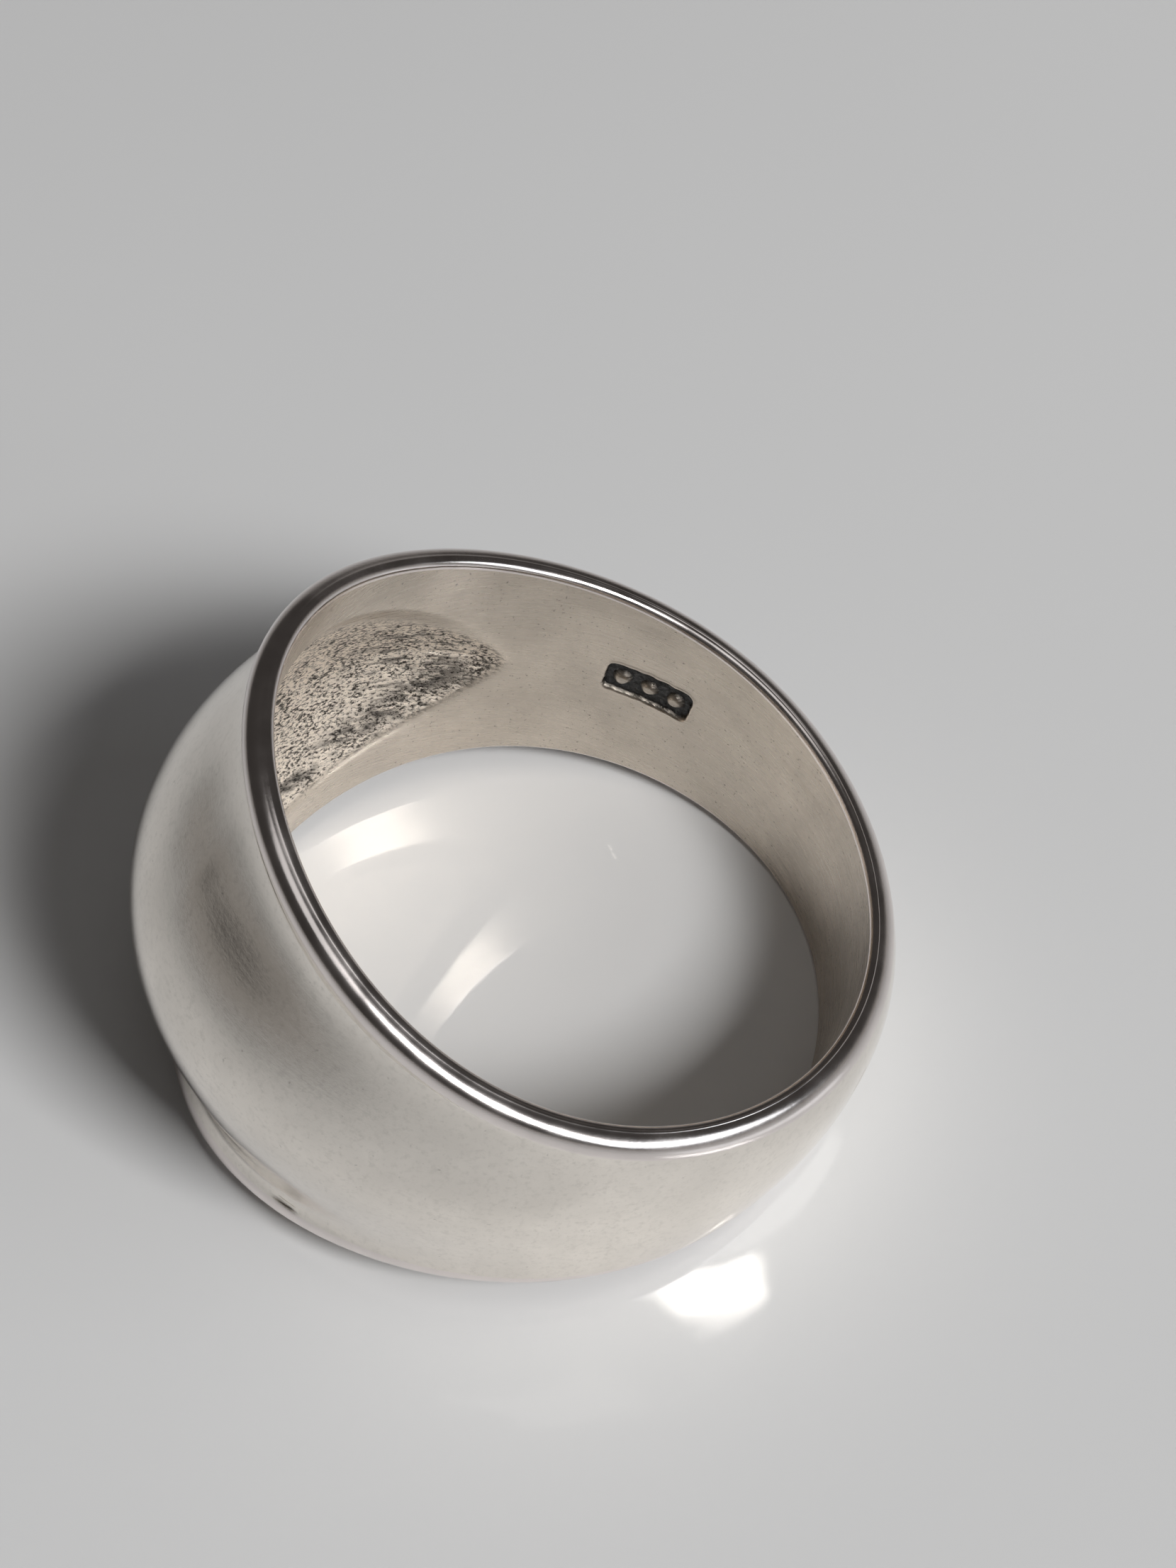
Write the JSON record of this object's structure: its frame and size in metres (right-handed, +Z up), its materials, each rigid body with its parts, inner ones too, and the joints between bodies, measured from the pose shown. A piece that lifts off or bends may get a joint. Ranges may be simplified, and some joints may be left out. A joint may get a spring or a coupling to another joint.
{
  "type": "signet ring",
  "caption": "Wide tapering finger ring with a puffed oval dome, hollow behind, smooth rims, a satin bore and a small blackened punched mark inside.",
  "frame": {"origin": "middle of the bounding box on the surface that the ring lies on", "axes": "+Z up from that surface; the dome faces -Y; the finger bore leans 15.4 degrees from +Z towards +Y; +X completes a right-handed frame"},
  "size_m": [0.02, 0.0218, 0.0151],
  "materials": {
    "silver": "polished outside, satin in the bore, as cast in the hollow",
    "oxide": "dull black deposit"
  },
  "bodies": {
    "root": {"ring_casting": "silver", "punch_mark_oxide": "oxide"}
  },
  "joints": []
}
